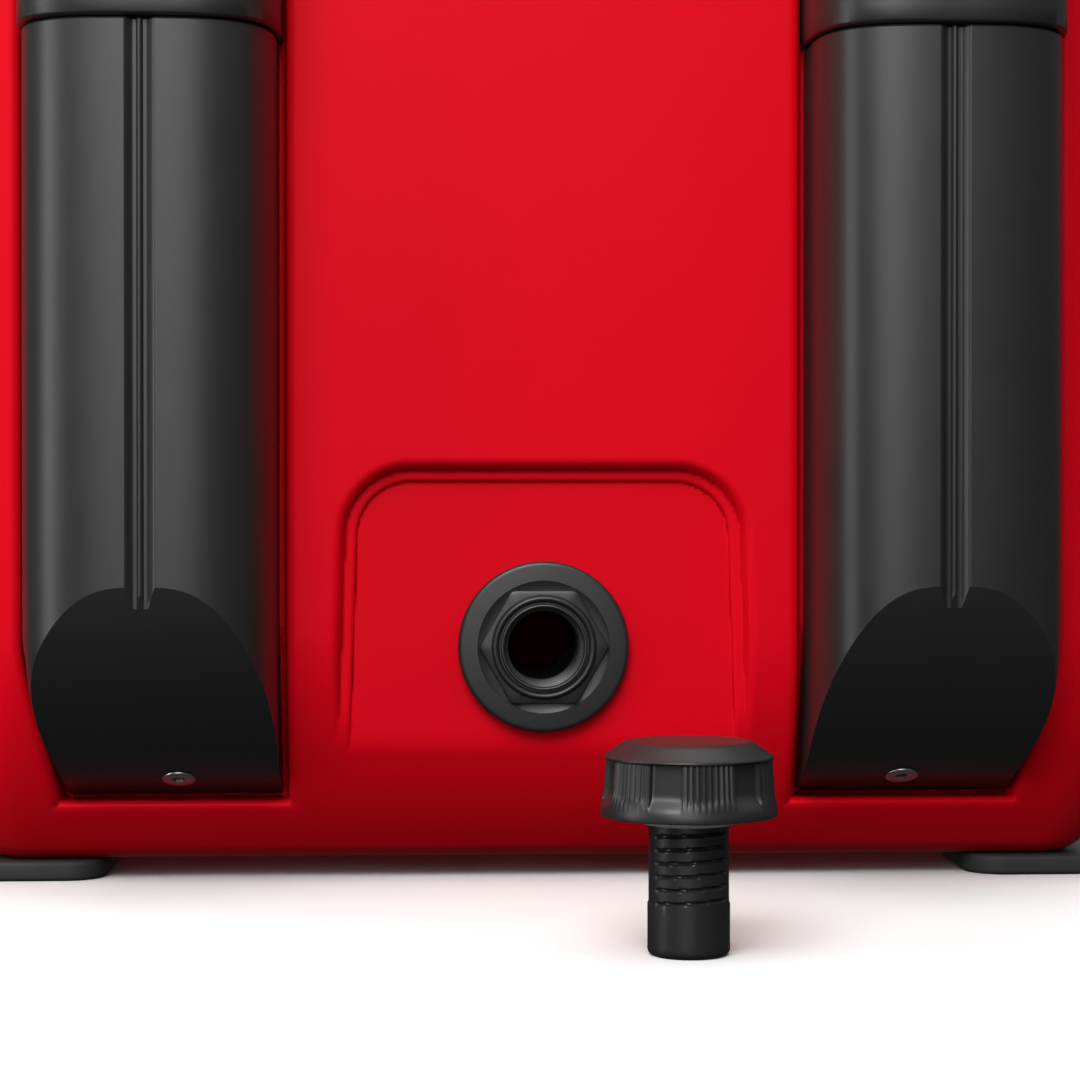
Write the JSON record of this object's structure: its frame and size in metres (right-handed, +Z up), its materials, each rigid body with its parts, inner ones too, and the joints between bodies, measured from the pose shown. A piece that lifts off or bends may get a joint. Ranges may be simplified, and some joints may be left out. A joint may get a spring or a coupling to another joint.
{
  "type": "wheeled cooler",
  "caption": "Hard insulated cooler on two wheels with a hinged lid, side latches, front rails holding a telescopic pull handle, and a threaded drain with its plug.",
  "frame": {"origin": "on the floor, under the middle of the whole object with its drain plug standing in front", "axes": "+Z up, -Y out of the drain wall, +X towards the latch side"},
  "size_m": [0.5312, 0.7006, 0.5],
  "materials": {
    "red_shell": "rotomoulded polyethylene, softly glossy",
    "black_plastic": "satin moulded plastic with a fine grain",
    "rubber_dark": "matt rubber",
    "tyre_rubber": "solid tyre rubber",
    "steel": "stainless steel",
    "aluminium": "anodised aluminium",
    "foam": "rigid insulating foam",
    "pale_seal": "pale silicone rubber",
    "bush_plastic": "plain bearing plastic"
  },
  "bodies": {
    "cooler_body": {"body_shell": "red_shell", "body_insulation": "foam", "hinge_rod": "steel", "latch_keepers": "black_plastic", "keeper_screws": "steel", "rail_left": "black_plastic", "rail_right": "black_plastic", "collar_left": "black_plastic", "collar_right": "black_plastic", "rail_screws": "steel", "guide_tube_left": "aluminium", "guide_tube_right": "aluminium", "guide_bush_left": "black_plastic", "guide_bush_right": "black_plastic", "drain_fitting": "black_plastic", "drain_gasket": "rubber_dark", "drain_nut": "black_plastic", "foot_left": "rubber_dark", "foot_right": "rubber_dark", "foot_screws": "steel", "axle": "steel", "axle_washers": "steel", "axle_nuts": "steel"},
    "lid": {"lid_shell": "red_shell", "lid_insulation": "foam", "lid_gasket": "rubber_dark", "latch_brackets": "black_plastic", "latch_bracket_screws": "steel", "latch_pins": "steel"},
    "latch_front_body": {"latch_front": "black_plastic"},
    "latch_back_body": {"latch_back": "black_plastic"},
    "handle_stage_1": {"stage_1_tube_left": "aluminium", "stage_1_tube_right": "aluminium", "stage_1_bush_left": "black_plastic", "stage_1_bush_right": "black_plastic", "stage_1_end_plugs": "black_plastic"},
    "handle_stage_2": {"stage_2_tube_left": "aluminium", "stage_2_tube_right": "aluminium", "stage_2_end_plugs": "black_plastic", "grip_lower": "black_plastic", "grip_upper": "black_plastic", "grip_screws": "steel", "button_spring": "steel"},
    "release": {"release_button": "rubber_dark", "release_beam": "black_plastic", "push_rods": "steel"},
    "wheel_left": {"tyre_left": "tyre_rubber", "rim_left": "black_plastic", "wheel_bush_left": "bush_plastic", "hub_cap_left": "black_plastic"},
    "wheel_right": {"tyre_right": "tyre_rubber", "rim_right": "black_plastic", "wheel_bush_right": "bush_plastic", "hub_cap_right": "black_plastic"},
    "plug": {"drain_plug": "black_plastic", "plug_gasket": "pale_seal"}
  },
  "joints": [
    {"name": "lid_hinge", "type": "hinge", "parent": "cooler_body", "child": "lid", "pos_m": [-0.252, 0.06025, 0.409], "axis": [0, -1, 0], "range_deg": [0, 105]},
    {"name": "latch_front_pivot", "type": "hinge", "parent": "lid", "child": "latch_front_body", "pos_m": [0.252, -0.06975, 0.436], "axis": [0, -1, 0], "range_deg": [-6, 95]},
    {"name": "latch_back_pivot", "type": "hinge", "parent": "lid", "child": "latch_back_body", "pos_m": [0.252, 0.19025, 0.436], "axis": [0, -1, 0], "range_deg": [-6, 95]},
    {"name": "handle_stage_1_slide", "type": "slide", "parent": "cooler_body", "child": "handle_stage_1", "axis": [0, 0, 1], "range_m": [0, 0.25]},
    {"name": "handle_stage_2_slide", "type": "slide", "parent": "handle_stage_1", "child": "handle_stage_2", "axis": [0, 0, 1], "range_m": [0, 0.25]},
    {"name": "release_button_press", "type": "slide", "parent": "handle_stage_2", "child": "release", "axis": [0, 0, -1], "range_m": [0, 0.004], "stiffness_N_per_m": 900, "springref_m": -0.003, "deforming": ["button_spring"]},
    {"name": "wheel_left_spin", "type": "hinge", "parent": "cooler_body", "child": "wheel_left", "pos_m": [-0.211, 0.25025, 0.1], "axis": [1, 0, 0], "continuous": true},
    {"name": "wheel_right_spin", "type": "hinge", "parent": "cooler_body", "child": "wheel_right", "pos_m": [0.211, 0.25025, 0.1], "axis": [1, 0, 0], "continuous": true},
    {"name": "drain_plug_lift", "type": "slide", "parent": "cooler_body", "child": "plug", "axis": [0, 0, 1], "range_m": [0, 0.15]}
  ]
}
